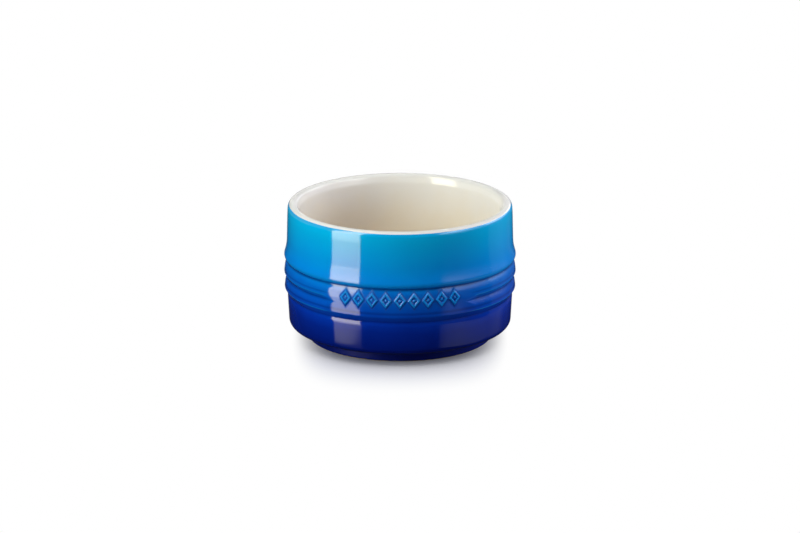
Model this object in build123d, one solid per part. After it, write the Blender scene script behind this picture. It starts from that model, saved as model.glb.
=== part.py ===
from build123d import *
from math import degrees, hypot
import os

# Stackable stoneware ramekin, in millimetres. +Z is up, the foot stands on Z = 0 and the front
# panel faces -Y. The clay body and each glaze coat are solids of their own, face to face.

# Driving dimensions of the whole dish
dish_height = 55.5
wall_radius = 45.0
wall_flare = 0.4
lip_width = 4.4
lip_inner_round = 1.9
lip_outer_round = 2.4

# Waist, from its lowest groove up: the rise of each crest and groove above the one below it
waist_height = 18.65
rib_three_rise = 2.45
groove_two_rise = 4.45
rib_two_rise = 1.85
groove_one_rise = 5.05
rib_one_rise = 1.3
flare_rise = 4.25

# How far each crest and groove stands out from the radius of the upper wall
rib_one_stand = 1.74
groove_one_stand = 0.15
rib_two_stand = 1.45
groove_two_stand = 0.25
rib_three_stand = 1.25
groove_three_stand = 0.15
rib_round = 2.1
groove_round = 0.3
flare_round = 20.0

# Lower wall, underside and foot ring, each set back from what is above it
lower_wall_set_back = 0.6
corner_round = 3.0
underside_height = 4.85
foot_set_back = 7.6
foot_draft = 0.2
foot_width = 4.2
foot_fillet = 1.0
foot_edge_round = 0.6
recess_height = 3.0
recess_round = 1.5

# Inside of the dish
floor_thickness = 5.0
bowl_draft = 1.2
bowl_round = 8.0

# Glaze coats
coat = 0.4
cream_line_drop = 0.7
glaze_line_height = 0.35

# Front panel, which closes the groove between the second and the third rib
panel_half_angle = 36.0
panel_face_round = 4.0

# Raised ornament on the panel: a row of lozenge frames, each with a bead at its centre
lozenge_count = 9
lozenge_pitch_angle = 6.9
lozenge_width = 5.0
lozenge_height = 6.4
lozenge_stroke = 1.0
bead_radius = 0.55
ornament_rise = 0.7
relief = 0.55
side_coat = 0.25
tip_round = 0.35

front_angle = -90.0
overrun = 1.6

os.makedirs("parts", exist_ok=True)

rib_three_height = waist_height + rib_three_rise
groove_two_height = rib_three_height + groove_two_rise
rib_two_height = groove_two_height + rib_two_rise
groove_one_height = rib_two_height + groove_one_rise
rib_one_height = groove_one_height + rib_one_rise
flare_height = rib_one_height + flare_rise
ornament_height = rib_two_height + ornament_rise
rib_two_radius = wall_radius + rib_two_stand
rib_three_radius = wall_radius + rib_three_stand
lower_wall_radius = wall_radius - lower_wall_set_back
foot_radius = lower_wall_radius - foot_set_back
foot_inner_radius = foot_radius - foot_width
foot_mid_radius = foot_radius - foot_width / 2
floor_height = recess_height + floor_thickness
lip_inner_radius = wall_radius - lip_width
wall_mid_radius = wall_radius - lip_width / 2
cream_line_height = dish_height - cream_line_drop


def corner(radius, height, rounding=0.0, depth=0.0):
    """One corner of an outline, and how deep the coat lies on the side that leaves it."""
    return (radius, height, rounding, depth)


# The glazed surface as corners, from the floor's centre over the lip and down to the recess
inside_corners = [
    corner(0, floor_height, depth=coat),
    corner(lip_inner_radius - bowl_draft, floor_height, bowl_round, coat),
    corner(lip_inner_radius, dish_height, lip_inner_round, coat),
]
upper_corners = [
    corner(wall_radius, dish_height, lip_outer_round, coat),
    corner(wall_radius + wall_flare, flare_height, flare_round, coat),
    corner(wall_radius + rib_one_stand, rib_one_height, rib_round, coat),
    corner(wall_radius + groove_one_stand, groove_one_height, groove_round, coat),
]
ribbed_corners = [
    corner(rib_two_radius, rib_two_height, rib_round, coat),
    corner(wall_radius + groove_two_stand, groove_two_height, groove_round, coat),
    corner(rib_three_radius, rib_three_height, rib_round, coat),
]
panel_corners = [
    corner(rib_two_radius, rib_two_height, panel_face_round, coat),
    corner(rib_three_radius, rib_three_height, rib_round, coat),
]
lower_corners = [
    corner(wall_radius + groove_three_stand, waist_height, groove_round, coat),
    corner(lower_wall_radius, underside_height, corner_round, coat),
    corner(foot_radius + foot_draft, underside_height, foot_fillet, coat),
    corner(foot_radius, 0, foot_edge_round, 0),
    corner(foot_inner_radius, 0, foot_edge_round, coat),
    corner(foot_inner_radius, recess_height, recess_round, coat),
    corner(0, recess_height),
]


def meet(first, second):
    """The point where two lines cross, each given by a point and a direction."""
    (ax, ay), (ux, uy) = first
    (bx, by), (vx, vy) = second
    along = ((bx - ax) * vy - (by - ay) * vx) / (ux * vy - uy * vx)
    return (ax + along * ux, ay + along * uy)


def sunk(corners, share=1.0):
    """The outline moved into the clay, each side by its coat times the share."""
    sides = []
    for here, there in zip(corners, corners[1:]):
        ux, uy = there[0] - here[0], there[1] - here[1]
        length = hypot(ux, uy)
        ux, uy = ux / length, uy / length
        # the clay lies to the right of a side, on the way from the floor over the lip
        depth = here[3] * share
        sides.append(((here[0] + uy * depth, here[1] - ux * depth), (ux, uy), depth))
    moved = [(0, sides[0][0][1], 0)]
    for index in range(1, len(corners) - 1):
        before, after = sides[index - 1], sides[index]
        point = meet(before[:2], after[:2])
        turn = before[1][0] * after[1][1] - before[1][1] * after[1][0]
        depth = min(before[2], after[2])
        # a corner that turns right stands out of the clay, so its rounding shrinks inside
        rounding = corners[index][2] + (depth if turn > 0 else -depth)
        moved.append((point[0], point[1], max(rounding, 0)))
    moved.append((0, sides[-1][0][1], 0))
    return moved


def section(corners):
    """The closed half section that an outline with rounded corners makes with the axis."""
    points = [(radius, height) for radius, height, _ in corners]
    roundings = [rounding for _, _, rounding in corners[1:-1]]
    outline = FilletPolyline(*points, radius=roundings)
    edge = Line(outline @ 1, outline @ 0)
    return Plane.XZ * make_face([*outline.edges(), edge])


def ring(low, high, inner, outer):
    """A flat section of a plain ring, for cutting coats apart."""
    half = Rectangle(outer - inner, high - low, align=(Align.MIN, Align.MIN))
    return Plane.XZ * Location((inner, low)) * half


def turned(face, angle=360.0, start=0.0):
    """A section carried round the axis, from the start angle."""
    return Rot(0, 0, start) * revolve(face, Axis.Z, angle)


plain_corners = inside_corners + upper_corners + ribbed_corners + lower_corners
filled_corners = inside_corners + upper_corners + panel_corners + lower_corners

glazed_face = section(sunk(plain_corners, 0))
clay_face = section(sunk(plain_corners))
panel_glazed_face = section(sunk(filled_corners, 0))
panel_clay_face = section(sunk(filled_corners))

widest = wall_radius + rib_one_stand + overrun
waist_ring = ring(waist_height, groove_one_height, wall_mid_radius, widest)
coat_face = glazed_face - clay_face


def panel(face, margin):
    """The front panel as a sector of a ring, short of the glazed panel's ends by the margin."""
    half = panel_half_angle - degrees(margin / rib_two_radius)
    return turned(face & waist_ring, 2 * half, front_angle - half)


def lozenge(growth):
    """The ornament's lozenge, with its four sides moved outwards by the growth."""
    wide, tall = lozenge_width / 2, lozenge_height / 2
    share = 1 + growth * hypot(wide, tall) / (wide * tall)
    points = [(wide * share, 0), (0, tall * share), (-wide * share, 0), (0, -tall * share)]
    return fillet(Polygon(*points, align=None).vertices(), tip_round)


def raised(height, inset):
    """The ornament, standing out of the panel by the height, its sides drawn in by the inset."""
    crown_face = Pos(height, 0, 0) * panel_glazed_face & waist_ring
    crown = turned(crown_face, 2 * panel_half_angle, front_angle - panel_half_angle)
    frame = lozenge(-inset) - lozenge(inset - lozenge_stroke)
    bead = Circle(bead_radius - inset)
    shapes = []
    place = Plane.YZ.offset(rib_two_radius) * Pos(0, ornament_height)
    for index in range(lozenge_count):
        turn = front_angle + (index - (lozenge_count - 1) / 2) * lozenge_pitch_angle
        for shape in (frame, bead):
            block = extrude(place * shape, amount=overrun, both=True)
            shapes.append(Rot(0, 0, turn) * block & crown)
    return shapes


def build_body():
    """The fired clay, with its panel and the ornament under the glaze."""
    clay = turned(clay_face) + panel(panel_clay_face, coat)
    return clay + raised(relief - coat, side_coat)


def build_rib_coat(body):
    """The mid blue coat round the waist, over the ribs, the panel and the ornament."""
    outer = turned(glazed_face & waist_ring) + panel(panel_glazed_face, 0)
    outer = outer + raised(relief, 0)
    return outer - body


def coats():
    """The coats that are the same all the way round, by name."""
    top = dish_height + overrun
    below = glaze_line_height
    inside = coat_face & ring(floor_height - overrun, top, 0, wall_mid_radius)
    over_lip = coat_face & ring(cream_line_height, top, 0, widest)
    upper = coat_face & ring(groove_one_height, cream_line_height, wall_mid_radius, widest)
    lower = (coat_face & ring(below, waist_height, foot_mid_radius, widest)) - inside
    recess = coat_face & ring(below, recess_height + overrun, 0, foot_mid_radius)
    return {
        "liner_glaze": turned(inside + over_lip),
        "upper_glaze": turned(upper),
        "lower_glaze": turned(lower),
        "underside_glaze": turned(recess),
    }


stoneware_body = build_body()
nodes = {"stoneware_body": stoneware_body, "rib_glaze": build_rib_coat(stoneware_body), **coats()}

for name, shape in nodes.items():
    print(name, "solids", len(shape.solids()), "volume", round(shape.volume, 2), "valid", shape.is_valid)
    export_step(shape, f"parts/{name}.step")
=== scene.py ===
import bpy
import numpy as np
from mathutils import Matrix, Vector


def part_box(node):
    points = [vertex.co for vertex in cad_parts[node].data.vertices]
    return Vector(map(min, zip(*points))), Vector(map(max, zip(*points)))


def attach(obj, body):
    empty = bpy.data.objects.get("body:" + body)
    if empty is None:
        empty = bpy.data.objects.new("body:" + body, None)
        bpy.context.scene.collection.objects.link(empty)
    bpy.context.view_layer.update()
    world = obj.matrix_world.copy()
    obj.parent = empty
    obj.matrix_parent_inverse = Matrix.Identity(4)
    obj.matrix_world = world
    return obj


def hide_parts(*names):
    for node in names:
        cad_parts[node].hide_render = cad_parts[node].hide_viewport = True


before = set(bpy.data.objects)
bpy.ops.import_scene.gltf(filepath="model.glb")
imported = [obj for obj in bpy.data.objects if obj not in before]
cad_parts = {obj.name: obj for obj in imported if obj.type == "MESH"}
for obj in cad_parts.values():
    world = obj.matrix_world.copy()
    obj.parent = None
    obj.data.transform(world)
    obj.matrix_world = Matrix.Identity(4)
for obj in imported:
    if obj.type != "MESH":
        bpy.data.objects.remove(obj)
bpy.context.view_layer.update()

mm = 0.001                              # sizes are in millimetres, objects in metres
tiny = 1e-6                             # shorter than this counts as no length
sharpAngle = 40.0                       # edges that turn by more degrees stay crisp
fineness = {"arc": 40, "rows": 4000, "seam": 20001}     # points on an arc or on a measured outline


# Curves and meshes

def boxOf(node):                        # the node's lowest and highest corner, in millimetres
    low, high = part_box(node)
    return np.array(low) / mm, np.array(high) / mm


def smoothStep(low, high, value):       # 0 below low, 1 above high, an S curve between
    t = np.clip((value - low) / (high - low), 0.0, 1.0)
    return t * t * (3.0 - 2.0 * t)


# An outline of straight sides with rounded corners. At each corner the arc of radius q starts
# q * tan(half the turn) before the corner, and its points swing round the arc's centre.
def roundedOutline(corners):
    spots = np.array([corner[:2] for corner in corners], float)
    rounding = np.array([corner[2] for corner in corners[1:-1]], float)[:, None]
    sides = np.diff(spots, axis=0)
    sides = sides / np.linalg.norm(sides, axis=1)[:, None]
    into, out = sides[:-1], sides[1:]
    turn = np.arctan2(into[:, 0] * out[:, 1] - into[:, 1] * out[:, 0], (into * out).sum(1))[:, None]
    start = spots[1:-1] - into * rounding * np.tan(np.abs(turn) / 2)
    left = np.stack([-into[:, 1], into[:, 0]], axis=1) * np.sign(turn)
    swing = turn * np.linspace(0.0, 1.0, fineness["arc"])[None, :]
    centre = start + left * rounding
    arm = -left * rounding
    x = centre[:, 0:1] + arm[:, 0:1] * np.cos(swing) - arm[:, 1:2] * np.sin(swing)
    y = centre[:, 1:2] + arm[:, 0:1] * np.sin(swing) + arm[:, 1:2] * np.cos(swing)
    arcs = np.stack([x, y], axis=2).reshape(-1, 2)
    points = np.vstack([spots[:1], arcs, spots[-1:]])
    keep = np.append(True, np.linalg.norm(np.diff(points, axis=0), axis=1) > tiny)
    return points[keep]


# Sides of an outline moved inwards by their own depth: each new corner is where two moved sides cross.
def sunkCorners(corners, depths):
    spots = np.array([corner[:2] for corner in corners], float)
    rounding = np.array([corner[2] for corner in corners], float)
    sides = np.diff(spots, axis=0)
    sides = sides / np.linalg.norm(sides, axis=1)[:, None]
    depth = np.array(depths, float)[:, None]
    base = spots[:-1] + np.stack([sides[:, 1], -sides[:, 0]], axis=1) * depth
    cross = sides[:-1, 0] * sides[1:, 1] - sides[:-1, 1] * sides[1:, 0]
    gap = base[1:] - base[:-1]
    along = (gap[:, 0] * sides[1:, 1] - gap[:, 1] * sides[1:, 0]) / cross
    moved = base[:-1] + sides[:-1] * along[:, None]
    least = np.minimum(depth[:-1, 0], depth[1:, 0])
    rounded = np.maximum(rounding[1:-1] + np.where(cross > 0, least, -least), 0.0)
    return [(0.0, base[0, 1], 0.0), *zip(moved[:, 0], moved[:, 1], rounded), (0.0, base[-1, 1], 0.0)]


# An outline as arrays over its arc length: radius, height and the direction in which it heads.
def measured(points):
    hop = np.diff(points, axis=0)
    length = np.linalg.norm(hop, axis=1)
    far = np.append(0.0, np.cumsum(length))
    heading = np.unwrap(np.arctan2(hop[:, 1], hop[:, 0]))
    middle = 0.5 * (far[:-1] + far[1:])
    return {"far": far, "radius": points[:, 0], "height": points[:, 1],
            "middle": middle, "heading": heading}


# Equal steps of length plus turning, so that rows lie closer where the outline bends.
def rowsBetween(line, first, last, straightStep, bendStep):
    fine = np.linspace(first, last, fineness["rows"])
    heading = np.interp(fine, line["middle"], line["heading"])
    weight = np.append(0.0, np.cumsum(np.diff(fine) / straightStep + np.abs(np.diff(heading)) / bendStep))
    count = int(np.ceil(weight[-1])) + 1
    return np.interp(np.linspace(0.0, weight[-1], count), weight, fine)


# Radius, height and outward normal at arc lengths; the normal is the heading turned a quarter left.
def readLine(line, far):
    radius = np.interp(far, line["far"], line["radius"])
    height = np.interp(far, line["far"], line["height"])
    heading = np.interp(far, line["middle"], line["heading"])
    return radius, height, -np.sin(heading), np.cos(heading)


# How much the outline turns nearby, averaged over three reaches on both sides: above 0 on a crest,
# below 0 in a groove, largest in the middle of either. It fades out below the wall.
def bendOf(line, far):
    bend = [np.interp(far - reach, line["middle"], line["heading"])
            - np.interp(far + reach, line["middle"], line["heading"]) for reach in dish["bendReaches"]]
    onWall = smoothStep(*dish["bendStarts"], np.interp(far, line["far"], line["height"]))
    return np.mean(bend, axis=0) * onWall


# The arc length at which the outline passes a height, searched between two arc lengths.
def farAt(line, level, first, last):
    fine = np.linspace(first, last, fineness["seam"])
    return fine[np.argmin(np.abs(np.interp(fine, line["far"], line["height"]) - level))]


# Quads between the rows of a grid that runs round the axis; closed rows join the last to the first.
def gridFaces(rows, columns, closedRows):
    down = np.arange(rows if closedRows else rows - 1)[:, None]
    across = np.arange(columns)[None, :]
    below = (down + 1) % rows
    beside = (across + 1) % columns
    quad = np.stack([down * columns + across, below * columns + across,
                     below * columns + beside, down * columns + beside], axis=2)
    return quad.reshape(-1, 4)


def makePiece(name, points, faces, values):
    mesh = bpy.data.meshes.new(name)
    mesh.from_pydata((points * mm).tolist(), [], faces)
    for key, value in values.items():
        layer = mesh.attributes.new(key, "FLOAT", "POINT")
        layer.data.foreach_set("value", value.astype(np.float32))
    mesh.shade_smooth()
    mesh.set_sharp_from_angle(angle=np.radians(sharpAngle))
    mesh.update()
    piece = bpy.data.objects.new(name, mesh)
    bpy.context.scene.collection.objects.link(piece)
    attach(piece, "root")
    triangles = len(mesh.loops) - 2 * len(mesh.polygons)
    print("made", name, len(mesh.vertices), "points", triangles, "triangles")
    return piece


# A closed loop of points (radius, height) turned round the axis: x = r sin(a), y = -r cos(a), z = h.
# A loop that starts and ends on the axis closes there with two fans of triangles.
def turnedPiece(name, radius, height, angles, values):
    rows, columns = radius.shape
    grid = np.stack([radius * np.sin(angles), -radius * np.cos(angles), height], axis=2)
    if radius[0].max() > tiny:
        flat = {key: value.ravel() for key, value in values.items()}
        return makePiece(name, grid.reshape(-1, 3), gridFaces(rows, columns, True).tolist(), flat)
    faces = gridFaces(rows - 2, columns, False).tolist()
    around = np.arange(columns)
    after = (around + 1) % columns
    firstPole, lastPole = (rows - 2) * columns, (rows - 2) * columns + 1
    lowRow = (rows - 3) * columns
    faces += np.stack([np.full(columns, firstPole), around, after], axis=1).tolist()
    faces += np.stack([np.full(columns, lastPole), lowRow + after, lowRow + around], axis=1).tolist()
    points = np.vstack([grid[1:-1].reshape(-1, 3), grid[0, :1], grid[-1, :1]])
    flat = {key: np.concatenate([value[1:-1].ravel(), value[0, :1], value[-1, :1]])
            for key, value in values.items()}
    return makePiece(name, points, faces, flat)


# The dish. Seams between the coats and the overall height come from the boxes of the CAD parts.
creamBox, azureBox = boxOf("liner_glaze"), boxOf("upper_glaze")
ribBox, navyBox = boxOf("rib_glaze"), boxOf("lower_glaze")

dish = {
    "coat": 0.4,                        # thickness of every glaze coat
    "height": creamBox[1][2],
    "creamLine": azureBox[1][2],        # where cream meets blue on the shoulder
    "upperSeam": ribBox[1][2],
    "lowerSeam": ribBox[0][2],
    "glazeLine": navyBox[0][2],         # below it the foot is bare clay
    "creamReach": (0.0, 6.0),           # a seam is searched this far past the one before it
    "upperReach": (15.0, 30.0),
    "lowerReach": (10.0, 20.0),
    "wallReach": 20.0, "footReach": 8.0,
    "waistPast": 10.0, "waistAbove": 10.0,  # the waist: so far past the cream line, above this height
    "footRadius": 36.8,
    "columns": 480,
    "straightStep": 1.1, "bendStep": 0.085,     # spacing of the rows, in millimetres and in radians
    "backStride": 2,                    # the side on the clay has every second row
    "bendReaches": (0.35, 0.7, 1.05),   # a crest or a groove is felt over these lengths
    "bendStarts": (8.0, 14.0),          # and not below these heights
    "lineSway": 0.07,                   # how far the hand-wiped cream line wanders
    "swayWaves": ((3, 1.0, 0.7), (7, 0.6, 2.1), (13, 0.4, 4.0)),    # waves round, share, start
    "rollEdge": 0.3, "rollMost": 0.98,  # rounding of the glaze where it ends above the bare foot
}
dish["floor"] = creamBox[0][2] + dish["coat"]
insideCorners = [                       # radius, height and rounding, in millimetres
    (0.0, dish["floor"], 0.0),
    (39.4, dish["floor"], 8.0),
    (40.3, 52.2, 4.0),                  # the inside of the lip flares before it rounds over
    (41.2, 54.75, 1.6),
    (42.4, dish["height"], 0.8),
]
upperCorners = [
    (44.85, dish["height"], 2.2),
    (45.08, 51.0, 6.0),                 # the wall leans in a little more below the lip
    (45.4, 38.0, 20.0),
    (46.69, 33.75, 1.9),
    (45.15, dish["upperSeam"], 0.5),
]
ribbedCorners = [
    (46.1, 30.5, 5.0),
    (46.44, 27.4, 1.0),
    (45.25, 25.55, 0.45),
    (45.98, 23.8, 5.0),
    (46.3, 21.1, 1.0),
]
panelCorners = [
    (46.0, 30.5, 5.0),
    (46.42, 27.4, 6.0),
    (46.3, 21.1, 1.0),
]
lowerCorners = [
    (44.85, dish["lowerSeam"], 0.45),
    (45.08, 17.3, 3.0),
    (44.4, 4.85, 3.0),
    (37.0, 4.85, 1.0),
    (dish["footRadius"], 0.0, 0.6),
    (32.6, 0.0, 0.6),
    (32.6, 3.0, 1.5),
    (0.0, 3.0, 0.0),
]
glazedCorners = insideCorners + upperCorners + ribbedCorners + lowerCorners
glazed = measured(roundedOutline(glazedCorners))
filled = measured(roundedOutline(insideCorners + upperCorners + panelCorners + lowerCorners))
outlineEnd = glazed["far"][-1]
lipCrest = glazed["far"][np.argmax(glazed["height"])]
footBottom = glazed["far"][np.argmin(glazed["height"])]


def seamPast(before, seam, reach):      # arc length of a seam that lies past another
    first, last = dish[reach]
    return farAt(glazed, dish[seam], before + first, before + last)


creamFar = seamPast(lipCrest, "creamLine", "creamReach")
upperFar = seamPast(creamFar, "upperSeam", "upperReach")
lowerFar = seamPast(upperFar, "lowerSeam", "lowerReach")
outerLineFar = farAt(glazed, dish["glazeLine"], lowerFar + dish["wallReach"], footBottom)
innerLineFar = farAt(glazed, dish["glazeLine"], footBottom, footBottom + dish["footReach"])
turnAngles = np.linspace(0.0, 2 * np.pi, dish["columns"], endpoint=False)


# A coat as a loop: out along the glazed surface, back along the clay. Its end at the bare foot
# rolls in as a quarter circle: offset q (1 - sqrt(1 - u u)), u from 0 to 1 within q of the end.
def coatLoop(first, last, rolledEnd=None):
    far = rowsBetween(glazed, np.min(first), np.min(last), dish["straightStep"], dish["bendStep"])
    rows = len(far)
    share = ((far - far[0]) / (far[-1] - far[0]))[:, None]
    far = first + share * (last - first) + 0.0 * turnAngles[None, :]
    radius, height, outR, outH = readLine(glazed, far)
    inset = np.zeros_like(far)
    if rolledEnd is not None:
        near = np.clip(1.0 - np.abs(far - rolledEnd) / dish["rollEdge"], 0.0, dish["rollMost"])
        inset = dish["rollEdge"] * (1.0 - np.sqrt(1.0 - near * near))
    back = np.unique(np.append(np.arange(0, rows, dish["backStride"]), rows - 1))[::-1]
    loopR = np.vstack([radius - outR * inset, (radius - outR * dish["coat"])[back]])
    loopH = np.vstack([height - outH * inset, (height - outH * dish["coat"])[back]])
    crest = bendOf(glazed, far)
    return np.maximum(loopR, 0.0), loopH, {"crest": np.vstack([crest, crest[back]])}


# The recess's coat runs from the foot to the axis and back, so its rows are turned to start and end
# on the axis, as a loop that closes there has to.
def onAxisFirst(loop):
    radius, height, values = loop
    shift = -1 - int(np.argmax(radius[:, 0] < tiny))
    turned = {key: np.roll(value, shift, axis=0) for key, value in values.items()}
    return np.roll(radius, shift, axis=0), np.roll(height, shift, axis=0), turned


def coatPiece(name, loop):
    radius, height, values = loop
    return turnedPiece(name, radius, height, turnAngles, values)


def levelCut(far):                      # an edge of a coat that stays level all the way round
    return np.full((1, dish["columns"]), far)


sway = sum(share * np.sin(count * turnAngles + start) for count, share, start in dish["swayWaves"])
creamCut = (creamFar + dish["lineSway"] * sway)[None, :]

linerGlaze = coatPiece("linerGlaze", coatLoop(levelCut(0.0), creamCut))
upperGlaze = coatPiece("upperGlaze", coatLoop(creamCut, levelCut(upperFar)))
lowerGlaze = coatPiece("lowerGlaze", coatLoop(levelCut(lowerFar), levelCut(outerLineFar), outerLineFar))
recessLoop = coatLoop(levelCut(innerLineFar), levelCut(outlineEnd), innerLineFar)
undersideGlaze = coatPiece("undersideGlaze", onAxisFirst(recessLoop))
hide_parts("liner_glaze")
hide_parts("upper_glaze")
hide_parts("lower_glaze")
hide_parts("underside_glaze")


# Front panel and ornament. Inside its full angle the panel closes the middle groove. From there to
# the open angle the groove runs out: its depth less a rising fill, so that it narrows to a point.
# The CAD closes it as far as 36 degrees and ends it bluntly there.
panel = {
    "fullAngle": 33.0, "openAngle": 42.5,   # degrees from the front: closed inside, open outside
    "fill": 1.02,                       # the full fill, as a share of the groove's greatest depth
    "lozengeCount": 9, "pitchAngle": 6.9, "wide": 5.0, "tall": 6.4, "stroke": 1.0,
    "bead": 0.55, "centre": 28.1, "relief": 0.48,
    "crestRadius": 46.45,               # the ornament is measured at this radius
    "flank": (-0.3, 0.5),               # a line rises between these distances inside its own edge
    "halo": (-1.1, -0.1, 0.15),         # glaze pools, and shade is painted, from the first to the third, most at the second
    "outside": -9.0,                    # a distance that counts as beyond the row
    "fineAngle": 44.0, "fineStep": 0.2, "coarseColumns": 300,   # columns are close at the front
    "straightStep": 0.45, "bendStep": 0.12,
    "bandHalf": 3.7, "bandStep": 0.2,   # and rows are close this far above and below the ornament
    "grooveHeight": 25.55, "grooveHalf": 0.5,   # the outline's own rows stay in the middle groove
    "backStride": 3,
    "upperShadeBand": (28.6, 0.6, 0.85),    # painted shade, a dark band on a rib's upper face: height, half width and amount
    "lowerShadeBand": (22.5, 0.75, 0.95),
}


# Relief of the row of lozenge frames. In a cell folded about its centre, q = |u| / a + |v| / b is 1
# on the lozenge's edge; the frame is a ridge along the line half a stroke inside it.
def ornamentRelief(angles, heights):
    step = np.radians(panel["pitchAngle"])
    index = np.round(angles / step)
    inRow = np.abs(index) <= (panel["lozengeCount"] - 1) / 2
    u = np.abs((angles - index * step) * panel["crestRadius"])
    v = np.abs(heights - panel["centre"])
    a, b = panel["wide"] / 2, panel["tall"] / 2
    inside = (1.0 - u / a - v / b) * a * b / np.hypot(a, b)
    ridge = panel["stroke"] / 2 - np.abs(inside - panel["stroke"] / 2)
    bead = panel["bead"] - np.hypot(u, v)
    top = np.where(inRow, np.maximum(ridge, bead), panel["outside"])
    # the halo round the lines: glaze pooled at their foot, and painted shade there
    far, edge, near = panel["halo"]
    pooledAndShaded = smoothStep(far, edge, top) * (1.0 - smoothStep(edge, near, top))
    return smoothStep(*panel["flank"], top), pooledAndShaded


def waistOf(line):                      # the outline's points between the lip and the lower wall
    return (line["far"] > creamFar + dish["waistPast"]) & (line["height"] > dish["waistAbove"])


def waistValue(line, key, heights):     # the outline's radius or arc length at heights of the waist
    return np.interp(-heights, -line["height"][waistOf(line)], line[key][waistOf(line)])


def closedShare(angles):                # 1 where the panel closes the middle groove, 0 where it is open
    away = np.abs(np.degrees(np.arctan2(np.sin(angles), np.cos(angles))))
    return 1.0 - smoothStep(panel["fullAngle"], panel["openAngle"], away)[None, :]


# Heights of the rows: the outline's own ones, and evenly close ones over the ornament's band.
def ribRows():
    top, low = panel["centre"] + panel["bandHalf"], panel["centre"] - panel["bandHalf"]
    far = rowsBetween(glazed, upperFar, lowerFar, panel["straightStep"], panel["bendStep"])
    heights = np.interp(far, glazed["far"], glazed["height"])
    outOfBand = (heights > top) | (heights < low)
    inGroove = np.abs(heights - panel["grooveHeight"]) < panel["grooveHalf"]
    band = np.arange(top, low, -panel["bandStep"])
    return np.unique(np.concatenate([heights[outOfBand | inGroove], band]))[::-1]


# A band of painted shade on a rib's upper face, just above its crest: a bell curve round a height.
def shadeBandOf(name, heights):
    middle, wide, amount = panel[name]
    return amount * np.exp(-((heights - middle) / wide) ** 2)[:, None]


front = panel["fineAngle"]
fineAngles = np.radians(np.arange(-front, front, panel["fineStep"]))
coarseAngles = np.radians(np.linspace(front, 360.0 - front, panel["coarseColumns"], endpoint=False))
ribAngles = np.concatenate([fineAngles, coarseAngles])
ribHeights = ribRows()
ribbedRadius, panelRadius = (waistValue(line, "radius", ribHeights) for line in (glazed, filled))
ribbedFar, panelFar = waistValue(glazed, "far", ribHeights), waistValue(filled, "far", ribHeights)

closing = closedShare(ribAngles)
depth = (panelRadius - ribbedRadius)[:, None]
opened = np.maximum(depth - closing * depth.max() * panel["fill"], 0.0)
opened = opened + np.minimum(depth, 0.0) * (1.0 - closing)
frontAngles = np.arctan2(np.sin(ribAngles), np.cos(ribAngles))
raised, pooledAndShaded = ornamentRelief(frontAngles[None, :], ribHeights[:, None])
ribOuter = panelRadius[:, None] - opened + panel["relief"] * raised
ribInner = panelRadius[:, None] - opened - dish["coat"]
ribLevel = ribHeights[:, None] + 0.0 * ribAngles[None, :]
crest = bendOf(glazed, ribbedFar)[:, None] * (1.0 - closing) + bendOf(filled, panelFar)[:, None] * closing
# painted shade: the bands are taken off the crest value, so that the pool colour darkens them
crest = crest - shadeBandOf("upperShadeBand", ribHeights) * (1.0 - closing) - shadeBandOf("lowerShadeBand", ribHeights)
backRows = slice(None, None, -panel["backStride"])
# the halo of pooled glaze and painted shade goes into the raised value as a negative
ribValues = {"crest": np.vstack([crest, crest[backRows]]),
             "raised": np.vstack([raised - pooledAndShaded, 0.0 * ribInner[backRows]])}
ribGlaze = turnedPiece("ribGlaze", np.vstack([ribOuter, ribInner[backRows]]),
                       np.vstack([ribLevel, ribLevel[backRows]]), ribAngles, ribValues)
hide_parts("rib_glaze")


# The clay body: the same outline, a coat deeper everywhere but on the bare bottom of the foot ring,
# and filled behind the panel as the glaze is.
body = {"columns": 360, "straightStep": 1.5, "bendStep": 0.14}

bareSide = [corner[:2] for corner in glazedCorners].index((dish["footRadius"], 0.0))
clayDepths = [0.0 if side == bareSide else dish["coat"] for side in range(len(glazedCorners) - 1)]
clay = measured(roundedOutline(sunkCorners(glazedCorners, clayDepths)))
clayFar = rowsBetween(clay, 0.0, clay["far"][-1], body["straightStep"], body["bendStep"])
clayR, clayH, _, _ = readLine(clay, clayFar)
bodyAngles = np.linspace(0.0, 2 * np.pi, body["columns"], endpoint=False)
betweenSeams = (clayH > dish["lowerSeam"]) & (clayH < dish["upperSeam"])
inWaist = (clayFar > creamFar + dish["waistPast"]) & betweenSeams
fill = (waistValue(filled, "radius", clayH) - waistValue(glazed, "radius", clayH)) * inWaist
bodyR = clayR[:, None] + fill[:, None] * closedShare(bodyAngles)
bodyH = clayH[:, None] + 0.0 * bodyAngles[None, :]
stonewareBody = turnedPiece("stonewareBody", bodyR, bodyH, bodyAngles, {})
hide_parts("stoneware_body")


# Materials

def linear(hexColour):                  # an sRGB hex colour as linear red, green, blue and alpha
    channels = np.array([int(hexColour[i:i + 2], 16) for i in (1, 3, 5)]) / 255.0
    low, high = channels / 12.92, ((channels + 0.055) / 1.055) ** 2.4
    return (*np.where(channels <= 0.04045, low, high), 1.0)


# Adds a node: values go on its own sockets, links come from other nodes' outputs.
def addNode(tree, kind, values=None, links=None, **settings):
    node = tree.nodes.new(kind)
    for key, value in settings.items():
        setattr(node, key, value)
    for key, value in (values or {}).items():
        node.inputs[key].default_value = value
    for key, socket in (links or {}).items():
        tree.links.new(socket, node.inputs[key])
    return node


def newMaterial(name):
    material = bpy.data.materials.new(name)
    material.use_nodes = True
    material.node_tree.nodes.clear()
    return material, material.node_tree


def spanned(first, last, lowest=0.0, highest=1.0):      # a map range's values
    return {"From Min": first, "From Max": last, "To Min": lowest, "To Max": highest}


def grained(size, detail):              # a noise texture's values, for patches this many millimetres wide
    return {"Scale": 1.0 / (size * mm), "Detail": detail}


def objectPlace(tree):                  # the point on the object, whole and as its X, Y and Z
    position = addNode(tree, "ShaderNodeTexCoord").outputs["Object"]
    return position, addNode(tree, "ShaderNodeSeparateXYZ", None, {0: position}).outputs


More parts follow.
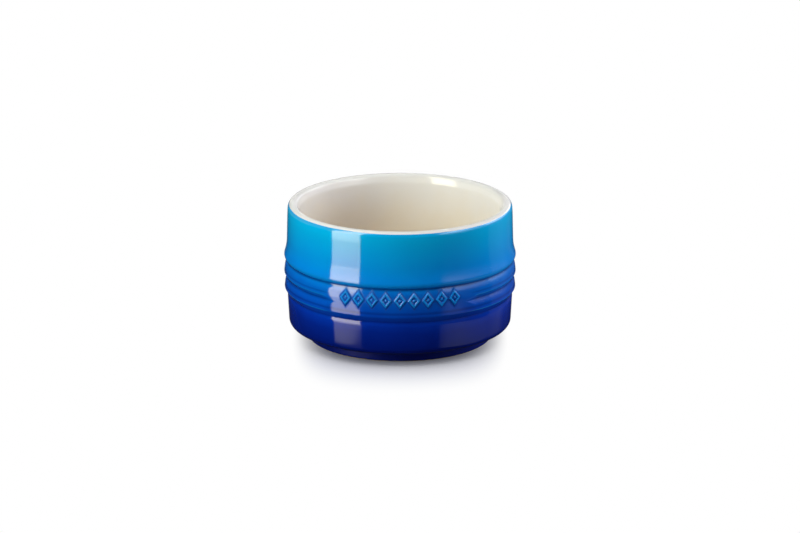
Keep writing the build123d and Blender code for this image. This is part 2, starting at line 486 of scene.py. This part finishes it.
def fillRamp(node, stops):              # stops are (place from 0 to 1, linear colour)
    elements = node.color_ramp.elements
    while len(elements) > 1:
        elements.remove(elements[-1])
    elements[0].position, elements[0].color = stops[0]
    for place, colour in stops[1:]:
        elements.new(place).color = colour


noiseSpan = (0.3, 0.7)                  # most of a noise texture's values lie between these


# Feldspathic gloss glaze over stoneware, fired in three sprayed blues that melt into each other, so
# the colour follows the height. It breaks paler where it runs thin on crests and on the raised
# ornament, pools darker in grooves, and has the faint waviness of a glaze that has flowed. The pool
# colour also paints shade: round the ornament's lines and in a band on each rib's upper face.
blueGlaze = {
    "heights": [                        # millimetres above the foot, and the colour fired there
        (0.0, "#011162"), (4.0, "#011162"), (8.0, "#001668"), (14.0, "#001f7c"), (18.0, "#002c94"),
        (21.5, "#003ba0"), (26.0, "#004dab"), (30.5, "#005cb4"), (33.5, "#0070c1"),
        (37.0, "#007bc8"), (44.0, "#008dcb"), (51.0, "#009bcc"), (54.3, "#00a3d2"), (54.9, "#3aa6cc"),
    ],
    "sway": 1.2, "swayGrain": 22.0,     # the bands wander by this much, over patches this wide
    "thin": "#0380c4", "thinSpan": (0.1, 1.0, 0.0, 0.85),   # on the ornament's lines
    "crestSpan": (0.42, 0.62, 0.0, 0.6),    # and, less, where a crest bends this sharply
    # the pool colour is glaze pooled in grooves, and painted shade round the ornament and on the ribs
    "poolAndShade": "#01104c", "poolAndShadeSpan": (-0.2, -1.2, 0.0, 0.6),
    "roughness": 0.075, "specular": 0.5, "ior": 1.5,
    "reliefRoughness": 0.38, "reliefSpecular": 0.13, "reliefSpan": (0.0, 0.6),  # drier on the relief
    "wipedBelow": (3.8, 5.2),           # and on the foot, which is wiped before firing
    "waveGrain": 11.0, "waveHeight": 0.03,
    "peelGrain": 1.6, "peelHeight": 0.0012,
}


def glazeBump(tree, position, look):    # slow waviness and fine orange peel, as bump heights
    wave = addNode(tree, "ShaderNodeTexNoise", grained(look["waveGrain"], 1.0), {"Vector": position})
    peel = addNode(tree, "ShaderNodeTexNoise", grained(look["peelGrain"], 2.0), {"Vector": position})
    slow = addNode(tree, "ShaderNodeBump", {"Strength": 1.0, "Distance": look["waveHeight"] * mm},
                   {"Height": wave.outputs["Fac"]})
    fine = addNode(tree, "ShaderNodeBump", {"Strength": 1.0, "Distance": look["peelHeight"] * mm},
                   {"Height": peel.outputs["Fac"], "Normal": slow.outputs["Normal"]})
    return fine.outputs["Normal"]


def firedColour(tree, position, above):     # the blue by height, along bands that wander a little
    look = blueGlaze
    patch = addNode(tree, "ShaderNodeTexNoise", grained(look["swayGrain"], 2.0), {"Vector": position})
    wander = addNode(tree, "ShaderNodeMapRange", spanned(*noiseSpan, -look["sway"] * mm, look["sway"] * mm),
                     {"Value": patch.outputs["Fac"]})
    level = addNode(tree, "ShaderNodeMath", None, {0: above, 1: wander.outputs[0]}, operation="ADD")
    top = look["heights"][-1][0]
    place = addNode(tree, "ShaderNodeMapRange", spanned(0.0, top * mm), {"Value": level.outputs[0]})
    ramp = addNode(tree, "ShaderNodeValToRGB", None, {"Fac": place.outputs[0]})
    fillRamp(ramp, [(height / top, linear(colour)) for height, colour in look["heights"]])
    return ramp.outputs["Color"]


def buildBlueGlaze(name):
    look = blueGlaze
    material, tree = newMaterial(name)
    position, axes = objectPlace(tree)
    crestValue = addNode(tree, "ShaderNodeAttribute", attribute_name="crest").outputs["Fac"]
    raisedValue = addNode(tree, "ShaderNodeAttribute", attribute_name="raised").outputs["Fac"]
    edge = addNode(tree, "ShaderNodeMapRange", spanned(*look["crestSpan"]), {"Value": crestValue})
    high = addNode(tree, "ShaderNodeMath", None, {0: raisedValue, 1: edge.outputs[0]}, operation="MAXIMUM")
    thin = addNode(tree, "ShaderNodeMapRange", spanned(*look["thinSpan"]), {"Value": high.outputs[0]})
    low = addNode(tree, "ShaderNodeMath", None, {0: crestValue, 1: raisedValue}, operation="MINIMUM")
    # pooled glaze and painted shade: grooves, the ornament's halo and the rib bands mix towards the pool
    # colour
    poolAndShade = addNode(tree, "ShaderNodeMapRange", spanned(*look["poolAndShadeSpan"]), {"Value": low.outputs[0]})
    thinned = addNode(tree, "ShaderNodeMix", {7: linear(look["thin"])},
                      {0: thin.outputs[0], 6: firedColour(tree, position, axes["Z"])}, data_type="RGBA")
    pooledAndShaded = addNode(tree, "ShaderNodeMix", {7: linear(look["poolAndShade"])},
                     {0: poolAndShade.outputs[0], 6: thinned.outputs[2]}, data_type="RGBA")
    foot, wall = (level * mm for level in look["wipedBelow"])
    wiped = addNode(tree, "ShaderNodeMapRange", spanned(wall, foot, *look["reliefSpan"]),
                    {"Value": axes["Z"]})
    relief = addNode(tree, "ShaderNodeMath", None, {0: raisedValue}, operation="ABSOLUTE")
    dry = addNode(tree, "ShaderNodeMath", None, {0: relief.outputs[0], 1: wiped.outputs[0]},
                  operation="MAXIMUM").outputs[0]
    rough, shine = (addNode(tree, "ShaderNodeMapRange", spanned(*look["reliefSpan"], look[wet], look[matt]),
                            {"Value": dry}).outputs[0]
                    for wet, matt in (("roughness", "reliefRoughness"), ("specular", "reliefSpecular")))
    glaze = addNode(tree, "ShaderNodeBsdfPrincipled", {"IOR": look["ior"]},
                    {"Base Color": pooledAndShaded.outputs[2], "Roughness": rough, "Specular IOR Level": shine,
                     "Normal": glazeBump(tree, position, look)})
    addNode(tree, "ShaderNodeOutputMaterial", None, {"Surface": glaze.outputs[0]})
    return material


# Opaque cream liner glaze, tin-whitened: glossy, greyer and a little darker on the lip's rounded crest,
# and warmer towards the floor of the bowl, which is painted warmth of light bounced inside the bowl.
creamGlaze = {
    "cream": "#ddd7d0", "warm": "#dfd2bd", "paleAbove": 50.0, "warmBelow": 32.0,
    "lip": "#ccc9c1", "lipSpan": (0.2, 1.0, 0.0, 0.8),
    "mottleGrain": 9.0, "mottle": 0.15, "roughness": 0.09, "ior": 1.5,
    "waveGrain": 14.0, "waveHeight": 0.03, "peelGrain": 1.8, "peelHeight": 0.0012,
}


def buildCreamGlaze(name):
    look = creamGlaze
    material, tree = newMaterial(name)
    position, axes = objectPlace(tree)
    mottle = addNode(tree, "ShaderNodeTexNoise", grained(look["mottleGrain"], 4.0), {"Vector": position})
    patchy = addNode(tree, "ShaderNodeMapRange", spanned(*noiseSpan, -look["mottle"], look["mottle"]),
                     {"Value": mottle.outputs["Fac"]})
    # painted warmth of bounced light: the cream turns warmer towards the floor of the bowl
    down = addNode(tree, "ShaderNodeMapRange", spanned(look["paleAbove"] * mm, look["warmBelow"] * mm),
                   {"Value": axes["Z"]})
    share = addNode(tree, "ShaderNodeMath", None, {0: patchy.outputs[0], 1: down.outputs[0]},
                    operation="ADD")
    ramp = addNode(tree, "ShaderNodeValToRGB", None, {"Fac": share.outputs[0]})
    fillRamp(ramp, [(0.0, linear(look["cream"])), (1.0, linear(look["warm"]))])
    crestValue = addNode(tree, "ShaderNodeAttribute", attribute_name="crest").outputs["Fac"]
    # greyer and a little darker where the lip's crest bends
    lip = addNode(tree, "ShaderNodeMapRange", spanned(*look["lipSpan"]), {"Value": crestValue})
    pale = addNode(tree, "ShaderNodeMix", {7: linear(look["lip"])},
                   {0: lip.outputs[0], 6: ramp.outputs["Color"]}, data_type="RGBA")
    glaze = addNode(tree, "ShaderNodeBsdfPrincipled", {"Roughness": look["roughness"], "IOR": look["ior"]},
                    {"Base Color": pale.outputs[2], "Normal": glazeBump(tree, position, look)})
    addNode(tree, "ShaderNodeOutputMaterial", None, {"Surface": glaze.outputs[0]})
    return material


# Bare fired stoneware on the foot: buff, matt and gritty, ground flat, with darker iron specks.
bareClay = {
    "dark": "#846f51", "darkUpTo": 0.3, "buff": "#a08a67", "buffFrom": 0.65,
    "grit": 0.35, "gritHeight": 0.02, "roughness": 0.82,
    "speck": "#57412f", "speckGrain": 1.6, "speckSpan": (0.16, 0.08, 0.0, 0.8),
}


def buildBareClay(name):
    look = bareClay
    material, tree = newMaterial(name)
    position = addNode(tree, "ShaderNodeTexCoord").outputs["Object"]
    grit = addNode(tree, "ShaderNodeTexNoise", grained(look["grit"], 5.0), {"Vector": position})
    ramp = addNode(tree, "ShaderNodeValToRGB", None, {"Fac": grit.outputs["Fac"]})
    fillRamp(ramp, [(look["darkUpTo"], linear(look["dark"])), (look["buffFrom"], linear(look["buff"]))])
    dots = addNode(tree, "ShaderNodeTexVoronoi", {"Scale": 1.0 / (look["speckGrain"] * mm)},
                   {"Vector": position})
    share = addNode(tree, "ShaderNodeMapRange", spanned(*look["speckSpan"]),
                    {"Value": dots.outputs["Distance"]})
    specked = addNode(tree, "ShaderNodeMix", {7: linear(look["speck"])},
                      {0: share.outputs[0], 6: ramp.outputs["Color"]}, data_type="RGBA")
    bump = addNode(tree, "ShaderNodeBump", {"Strength": 1.0, "Distance": look["gritHeight"] * mm},
                   {"Height": grit.outputs["Fac"]})
    clay = addNode(tree, "ShaderNodeBsdfPrincipled", {"Roughness": look["roughness"]},
                   {"Base Color": specked.outputs[2], "Normal": bump.outputs["Normal"]})
    addNode(tree, "ShaderNodeOutputMaterial", None, {"Surface": clay.outputs[0]})
    return material


finishes = [
    (linerGlaze, buildCreamGlaze("creamLinerGlaze"), "cream_glaze"),
    (upperGlaze, buildBlueGlaze("azureGlossGlaze"), "azure_glaze"),
    (ribGlaze, buildBlueGlaze("midBlueGlossGlaze"), "mid_blue_glaze"),
    (lowerGlaze, buildBlueGlaze("navyGlossGlaze"), "navy_glaze"),
    (undersideGlaze, buildBlueGlaze("navyRecessGlaze"), "navy_glaze"),
    (stonewareBody, buildBareClay("bareStoneware"), "bare_stoneware"),
]
for piece, material, slot in finishes:
    piece.data.materials.append(material)
print("materials done")


# Studio: floor, backdrop, lights and camera. Azimuths are in degrees, counted from the front.

def stagePiece(name, mesh):
    piece = bpy.data.objects.new(name, mesh)
    bpy.context.scene.collection.objects.link(piece)
    return piece


def flatPiece(name, corners):
    mesh = bpy.data.meshes.new(name)
    mesh.from_pydata([tuple(np.array(corner) * mm) for corner in corners], [], [tuple(range(len(corners)))])
    return stagePiece(name, mesh)


def seenRays(tree):                     # 1 for camera, glossy and transmission rays
    path = addNode(tree, "ShaderNodeLightPath")
    either = addNode(tree, "ShaderNodeMath", None,
                     {0: path.outputs["Is Camera Ray"], 1: path.outputs["Is Transmission Ray"]},
                     operation="MAXIMUM")
    return addNode(tree, "ShaderNodeMath", None, {0: either.outputs[0], 1: path.outputs["Is Glossy Ray"]},
                   operation="MAXIMUM").outputs[0]


def grey(level):                        # a linear grey as a colour
    return (level,) * 3 + (1.0,)


# White paper sweep. It keeps the dish's shadow, and turns to the plain white of the sheet between
# two radii. To the sides a point counts as farther out than it is: x (1 + lift (x / reach) ^ 4).
paper = {
    "size": 8000.0, "white": 0.95, "bounce": 0.4,   # as it is seen, and as it throws light back
    "whiteFrom": 28.0, "whiteTo": 80.0,
    "sideReach": 38.0, "sideLift": 0.45, "sidePower": 4.0,
}


def buildPaper():
    material, tree = newMaterial("paperSweep")
    _, axes = objectPlace(tree)
    side = addNode(tree, "ShaderNodeMath", None, {0: axes["X"]}, operation="ABSOLUTE").outputs[0]
    reach = addNode(tree, "ShaderNodeMath", {1: paper["sideReach"] * mm}, {0: side}, operation="DIVIDE")
    steep = addNode(tree, "ShaderNodeMath", {1: paper["sidePower"]}, {0: reach.outputs[0]},
                    operation="POWER")
    added = addNode(tree, "ShaderNodeMath", None, {0: side, 1: steep.outputs[0]}, operation="MULTIPLY")
    wide = addNode(tree, "ShaderNodeMath", {1: paper["sideLift"]}, {0: added.outputs[0], 2: side},
                   operation="MULTIPLY_ADD")
    spread = addNode(tree, "ShaderNodeCombineXYZ", None, {0: wide.outputs[0], 1: axes["Y"]})
    far = addNode(tree, "ShaderNodeVectorMath", None, {0: spread.outputs[0]}, operation="LENGTH")
    share = addNode(tree, "ShaderNodeMapRange", spanned(paper["whiteFrom"] * mm, paper["whiteTo"] * mm),
                    {"Value": far.outputs["Value"]}, interpolation_type="SMOOTHSTEP")
    seen = seenRays(tree)
    fade = addNode(tree, "ShaderNodeMath", None, {0: share.outputs[0], 1: seen}, operation="MULTIPLY")
    tone = addNode(tree, "ShaderNodeMix", {6: grey(paper["bounce"]), 7: grey(paper["white"])}, {0: seen},
                   data_type="RGBA")
    sheet = addNode(tree, "ShaderNodeBsdfDiffuse", None, {"Color": tone.outputs[2]})
    glow = addNode(tree, "ShaderNodeEmission", {"Color": grey(1.0), "Strength": 1.0})
    mixed = addNode(tree, "ShaderNodeMixShader", None,
                    {0: fade.outputs[0], 1: sheet.outputs[0], 2: glow.outputs[0]})
    addNode(tree, "ShaderNodeOutputMaterial", None, {"Surface": mixed.outputs[0]})
    return material


# One plain sheet. The glaze doesn't mirror it, because the set beyond its shadow is dark to the glaze.
def buildFloor():
    half = paper["size"] / 2
    corners = [(-half, -half, 0), (half, -half, 0), (half, half, 0), (-half, half, 0)]
    floor = flatPiece("studioFloor", corners)
    floor.visible_glossy = False
    floor.data.materials.append(buildPaper())


# What the glaze mirrors: cards whose levels change with the height, and the side cards' also along
# their length. Each level is a radiance at a height in millimetres, and each fade a share at a Y.
cards = {
    "keyAzimuth": -58.0, "keyFar": 500.0, "keyFrom": -103.0, "keyTo": 172.0, "keyTint": "#fff5d6",
    "keyLevels": [(-420.0, 0.2), (-194.0, 0.2), (-189.0, 1.3), (-182.0, 1.8), (-158.0, 2.0),
                  (-151.0, 5.0), (-70.0, 5.6), (-60.0, 5.8), (-40.0, 8.8), (10.0, 8.0), (70.0, 8.4),
                  (130.0, 9.5), (1100.0, 9.0)],
    "sideX": 450.0, "front": -560.0, "split": 60.0, "back": 1500.0, "sideTint": "#f4faff",
    "frontLevels": [(-420.0, 0.0), (-330.0, 0.4), (-150.0, 0.42), (-128.0, 0.06), (-20.0, 0.05),
                    (70.0, 0.35), (150.0, 1.3), (300.0, 2.6), (400.0, 7.5), (560.0, 7.5), (680.0, 0.3),
                    (1100.0, 0.2)],
    "frontFade": [(-560.0, 0.0), (-500.0, 0.4), (-400.0, 0.8), (-240.0, 1.0), (60.0, 0.55)],
    "backLevels": [(-420.0, 0.0), (-200.0, 0.09), (-165.0, 0.2), (-128.0, 0.2), (-100.0, 0.15),
                   (-20.0, 0.15), (70.0, 0.4), (150.0, 1.5), (230.0, 6.0), (360.0, 6.0), (450.0, 0.4),
                   (1100.0, 0.2)],
    "backFade": [(60.0, 1.0), (260.0, 1.0), (400.0, 0.5), (1500.0, 0.4)],
    "panelFar": 1400.0, "panelWide": 800.0, "panelTint": "#ffffff",
    "panelLevels": [(-700.0, 0.06), (-40.0, 0.06), (60.0, 0.7), (700.0, 0.8)],
    "flagRadius": 1500.0, "flagHigh": 900.0, "flagSides": 96, "flagGrey": 0.015,
}


def onlyMirrored(piece):                # the glaze sees it, but it lights nothing and casts no shadow
    piece.visible_camera = False
    piece.visible_diffuse = False
    piece.visible_shadow = False


# A level that changes along one axis, as a ramp of greys up to 1, and the level that 1 stands for.
def levelRamp(tree, socket, levels):
    low, high = levels[0][0], levels[-1][0]
    most = max(level for _, level in levels)
    place = addNode(tree, "ShaderNodeMapRange", spanned(low * mm, high * mm), {"Value": socket})
    ramp = addNode(tree, "ShaderNodeValToRGB", None, {"Fac": place.outputs[0]})
    fillRamp(ramp, [((spot - low) / (high - low), grey(level / most)) for spot, level in levels])
    return ramp.outputs["Color"], most


# A card that stands between two points of the plan and is as high as its levels reach.
def buildMirrorCard(name, start, end, tint, levels, fade=None):
    low, high = levels[0][0], levels[-1][0]
    card = flatPiece(name, [(*start, low), (*end, low), (*end, high), (*start, high)])
    onlyMirrored(card)
    material, tree = newMaterial(name)
    _, axes = objectPlace(tree)
    colour, most = levelRamp(tree, axes["Z"], levels)
    if fade:
        side, _ = levelRamp(tree, axes["Y"], fade)
        colour = addNode(tree, "ShaderNodeVectorMath", None, {0: colour, 1: side},
                         operation="MULTIPLY").outputs[0]
    tinted = addNode(tree, "ShaderNodeVectorMath", {1: linear(tint)[:3]}, {0: colour}, operation="MULTIPLY")
    glow = addNode(tree, "ShaderNodeEmission", {"Strength": most}, {"Color": tinted.outputs[0]})
    addNode(tree, "ShaderNodeOutputMaterial", None, {"Surface": glow.outputs[0]})
    card.data.materials.append(material)


def sideways(azimuth):                  # directions towards an azimuth, and beside it
    angle = np.radians(azimuth)
    return np.array([np.sin(angle), -np.cos(angle)]), np.array([np.cos(angle), np.sin(angle)])


def keyEnds():                          # the softbox's two ends in the plan
    towards, beside = sideways(cards["keyAzimuth"])
    return [towards * cards["keyFar"] + beside * cards[end] for end in ("keyFrom", "keyTo")]


def buildCards():
    buildMirrorCard("keySoftbox", *keyEnds(), cards["keyTint"], cards["keyLevels"])
    x, split = cards["sideX"], cards["split"]
    buildMirrorCard("frontCard", (x, cards["front"]), (x, split), cards["sideTint"], cards["frontLevels"],
                    cards["frontFade"])
    buildMirrorCard("backCard", (x, split), (x, cards["back"]), cards["sideTint"], cards["backLevels"],
                    cards["backFade"])
    wide, far = cards["panelWide"] / 2, cards["panelFar"]
    buildMirrorCard("backPanel", (-wide, far), (wide, far), cards["panelTint"], cards["panelLevels"])


# Black flags all round and above, as a closed drum that only the glaze sees.
def buildFlags():
    radius, high, sides = cards["flagRadius"], cards["flagHigh"], cards["flagSides"]
    angles = np.linspace(0.0, 2 * np.pi, sides, endpoint=False)
    ends = np.array([[0.0, -radius], [radius, -radius], [radius, high], [0.0, high]])
    grid = np.stack([ends[:, 0:1] * np.cos(angles), ends[:, 0:1] * np.sin(angles),
                     ends[:, 1:2] + 0.0 * angles], axis=2).reshape(-1, 3)
    mesh = bpy.data.meshes.new("blackFlags")
    mesh.from_pydata((grid * mm).tolist(), [], gridFaces(len(ends), sides, False).tolist())
    flags = stagePiece("blackFlags", mesh)
    onlyMirrored(flags)
    material, tree = newMaterial("blackVelvet")
    velvet = addNode(tree, "ShaderNodeEmission", {"Strength": cards["flagGrey"]})
    addNode(tree, "ShaderNodeOutputMaterial", None, {"Surface": velvet.outputs[0]})
    flags.data.materials.append(material)


# What lights the dish. The lamps at the sides light it alone, so that its shadow on the paper comes
# from the top lamp and the ambient light, and lies evenly round the foot.
lamps = {
    "aim": (0.0, 0.0, 30.0),
    "keyHigh": 250.0, "keyTall": 400.0, "keyLevel": 8.4, "keyTint": "#f5fff3",
    "sideAzimuth": 103.0, "sideFar": 600.0, "sideHigh": 160.0, "sideWide": 400.0, "sideTall": 300.0,
    "sideLevel": 9.8, "sideTint": "#f6fcff",
    "topHigh": 900.0, "topWide": 1200.0, "topLevel": 1.25, "topTint": "#ffffff",
    "ambient": "#d8deff", "ambientLevel": 0.35,
}


# A soft lamp that faces the dish and that the glaze doesn't mirror; its power gives the radiance.
def buildLamp(name, place, wide, tall, level, tint, receivers=None):
    lamp = bpy.data.lights.new(name, "AREA")
    lamp.shape = "RECTANGLE"
    lamp.size, lamp.size_y = wide * mm, tall * mm
    lamp.energy = level * np.pi * wide * tall * mm * mm
    lamp.color = linear(tint)[:3]
    carrier = bpy.data.objects.new(name, lamp)
    bpy.context.scene.collection.objects.link(carrier)
    carrier.location = Vector(place) * mm
    carrier.rotation_euler = (Vector(lamps["aim"]) - Vector(place)).to_track_quat("-Z", "Y").to_euler()
    carrier.visible_glossy = False
    carrier.visible_camera = False
    if receivers:
        carrier.light_linking.receiver_collection = receivers


def buildLamps():
    dishOnly = bpy.data.collections.new("dishOnly")
    for piece, _, _ in finishes:
        dishOnly.objects.link(piece)
    middle = 0.5 * sum(keyEnds())
    buildLamp("keyLamp", (*middle, lamps["keyHigh"]), cards["keyTo"] - cards["keyFrom"], lamps["keyTall"],
              lamps["keyLevel"], lamps["keyTint"], dishOnly)
    place = sideways(lamps["sideAzimuth"])[0] * lamps["sideFar"]
    buildLamp("sideLamp", (*place, lamps["sideHigh"]), lamps["sideWide"], lamps["sideTall"],
              lamps["sideLevel"], lamps["sideTint"], dishOnly)
    buildLamp("topLamp", (0.0, 0.0, lamps["topHigh"]), lamps["topWide"], lamps["topWide"],
              lamps["topLevel"], lamps["topTint"])


def buildWorld():                       # white to what is seen, dim and bluish as a light
    world = bpy.data.worlds.new("studioWorld")
    world.use_nodes = True
    tree = world.node_tree
    tree.nodes.clear()
    ambient = addNode(tree, "ShaderNodeBackground",
                      {"Color": linear(lamps["ambient"]), "Strength": lamps["ambientLevel"]})
    white = addNode(tree, "ShaderNodeBackground", {"Color": grey(1.0), "Strength": 1.0})
    mixed = addNode(tree, "ShaderNodeMixShader", None,
                    {0: seenRays(tree), 1: ambient.outputs[0], 2: white.outputs[0]})
    addNode(tree, "ShaderNodeOutputWorld", None, {"Surface": mixed.outputs[0]})
    bpy.context.scene.world = world


view = {"far": 2000.0, "elevation": 16.65, "target": 28.48, "lens": 224.2, "sensor": 36.0, "reach": 50000.0}


def buildCamera():
    camera = bpy.data.objects.new("camera", bpy.data.cameras.new("camera"))
    bpy.context.scene.collection.objects.link(camera)
    angle = np.radians(view["elevation"])
    back = Vector((0.0, -np.cos(angle), np.sin(angle)))
    camera.location = Vector((0.0, 0.0, view["target"] * mm)) + back * view["far"] * mm
    camera.rotation_euler = (-back).to_track_quat("-Z", "Y").to_euler()
    camera.data.lens = view["lens"]
    camera.data.sensor_width = view["sensor"]
    camera.data.clip_end = view["reach"] * mm
    bpy.context.scene.camera = camera


buildFloor()
buildCards()
buildFlags()
buildLamps()
buildWorld()
buildCamera()
bpy.context.scene.view_settings.view_transform = "Standard"
print("studio done")
